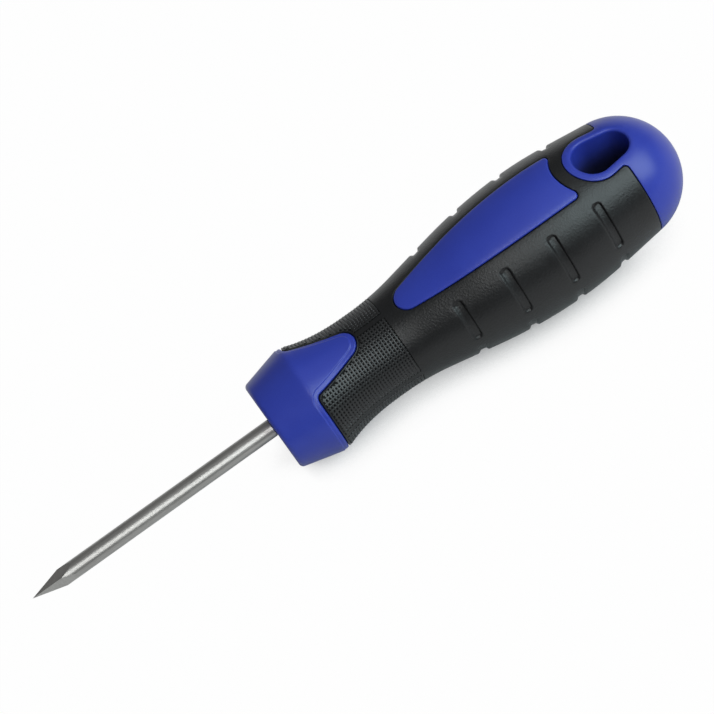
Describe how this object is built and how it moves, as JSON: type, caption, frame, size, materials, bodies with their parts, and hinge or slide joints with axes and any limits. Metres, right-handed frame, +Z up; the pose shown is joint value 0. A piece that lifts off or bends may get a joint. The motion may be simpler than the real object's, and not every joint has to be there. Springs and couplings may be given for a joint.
{
  "type": "bradawl",
  "caption": "Bradawl: round steel blade with a ground point in a waisted soft-grip handle with finger slots, a domed butt and a hanging hole, for starting screw holes in wood.",
  "frame": {"origin": "on the tool's axis, in the plane of the collar's front face, where the blade comes out", "axes": "+X along the axis towards the butt, so the point is at -X; +Z up through the middle of the upper inlay"},
  "size_m": [0.1644, 0.0312, 0.0314],
  "materials": {
    "blade_steel": "ground",
    "core_plastic": "as moulded",
    "blue_plastic": "satin",
    "black_grip": "matte"
  },
  "bodies": {
    "root": {"blade": "blade_steel", "handle_core": "core_plastic", "front_collar": "blue_plastic", "grip_sleeve": "black_grip", "panel_inlay_top": "blue_plastic", "panel_inlay_back": "blue_plastic", "end_cap": "blue_plastic"}
  },
  "joints": []
}
